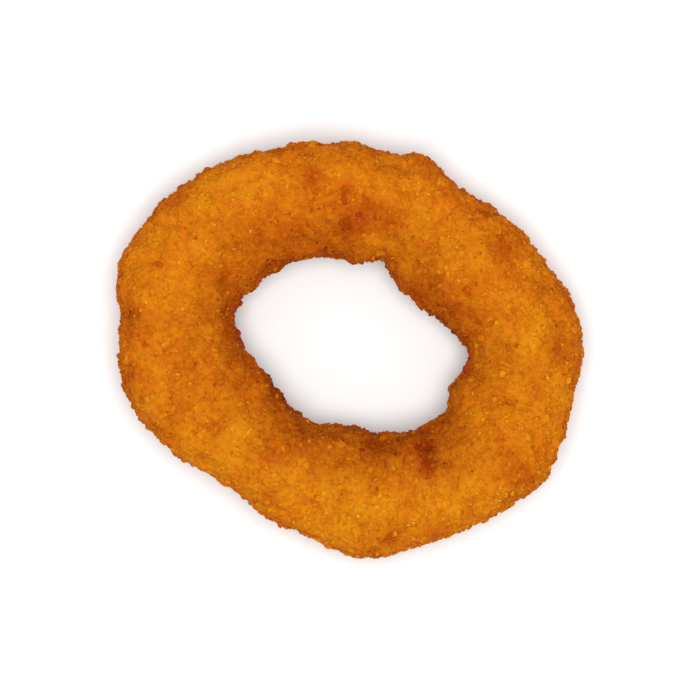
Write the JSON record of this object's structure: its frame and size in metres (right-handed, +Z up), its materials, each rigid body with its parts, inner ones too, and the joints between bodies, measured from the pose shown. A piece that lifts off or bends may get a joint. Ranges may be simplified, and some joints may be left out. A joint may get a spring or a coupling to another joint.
{
  "type": "onion ring",
  "caption": "Breaded and fried onion ring: an uneven oval loop with a crumbed golden crust and an open middle, lying flat.",
  "frame": {"origin": "middle of the footprint, at the height of the surface the ring lies on", "axes": "+Z up through the hole, +X along the ring's longest side as it lies"},
  "size_m": [0.0796, 0.0712, 0.0176],
  "materials": {
    "crumb_crust": "Deep-fried breadcrumb crust: golden orange with browner patches, grainy and nearly dull, with a slight oily gloss."
  },
  "bodies": {
    "root": {"onion_ring": "crumb_crust"}
  },
  "joints": []
}
